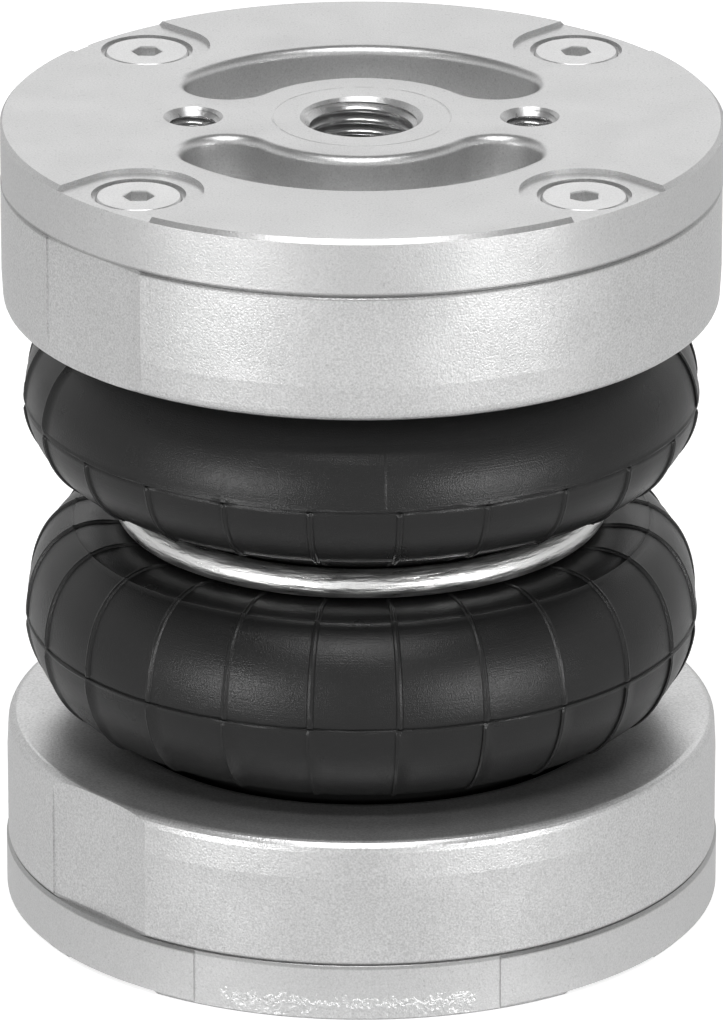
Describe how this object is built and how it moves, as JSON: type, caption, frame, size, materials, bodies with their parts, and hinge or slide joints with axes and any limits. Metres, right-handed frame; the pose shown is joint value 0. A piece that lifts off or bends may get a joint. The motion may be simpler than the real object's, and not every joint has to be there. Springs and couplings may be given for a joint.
{
  "type": "air bellows actuator",
  "caption": "Short-stroke pneumatic lifting bellows: a double-convolution rubber bellows with a girdle hoop, clamped between two round pocketed metal caps with a threaded air port.",
  "frame": {"origin": "middle of the lower cover's outer face, on the stroke axis", "axes": "+Z along the stroke to the air port's cover, +X along the line of the two mounting threads"},
  "size_m": [0.08, 0.08, 0.091],
  "materials": {
    "cover_metal": "machined and blasted, satin",
    "ring_metal": "cast and blasted, satin",
    "screw_steel": "zinc plated",
    "hoop_steel": "drawn wire",
    "girdle_steel": "bright zinc plated wire",
    "rubber": "moulded, dull"
  },
  "bodies": {
    "lower_cap": {"lower_cover": "cover_metal", "lower_clamp_ring": "ring_metal", "lower_bead_hoop": "hoop_steel", "lower_convolution": "rubber", "lower_cover_screw_1": "screw_steel", "lower_cover_screw_2": "screw_steel", "lower_cover_screw_3": "screw_steel", "lower_cover_screw_4": "screw_steel"},
    "girdle": {"girdle_ring": "girdle_steel"},
    "upper_cap": {"upper_convolution": "rubber", "upper_bead_hoop": "hoop_steel", "upper_clamp_ring": "ring_metal", "upper_cover": "cover_metal", "upper_cover_screw_1": "screw_steel", "upper_cover_screw_2": "screw_steel", "upper_cover_screw_3": "screw_steel", "upper_cover_screw_4": "screw_steel"}
  },
  "joints": [
    {"name": "lower_fold", "type": "slide", "parent": "lower_cap", "child": "girdle", "axis": [0, 0, 1], "range_m": [-0.013, 0.0095], "stiffness_N_per_m": 10000, "deforming": ["lower_convolution"]},
    {"name": "upper_fold", "type": "slide", "parent": "girdle", "child": "upper_cap", "axis": [0, 0, 1], "range_m": [-0.013, 0.0095], "stiffness_N_per_m": 10000, "deforming": ["upper_convolution"]}
  ],
  "couplings": [
    {"joint": "upper_fold", "follows": "lower_fold", "ratio": 1}
  ]
}
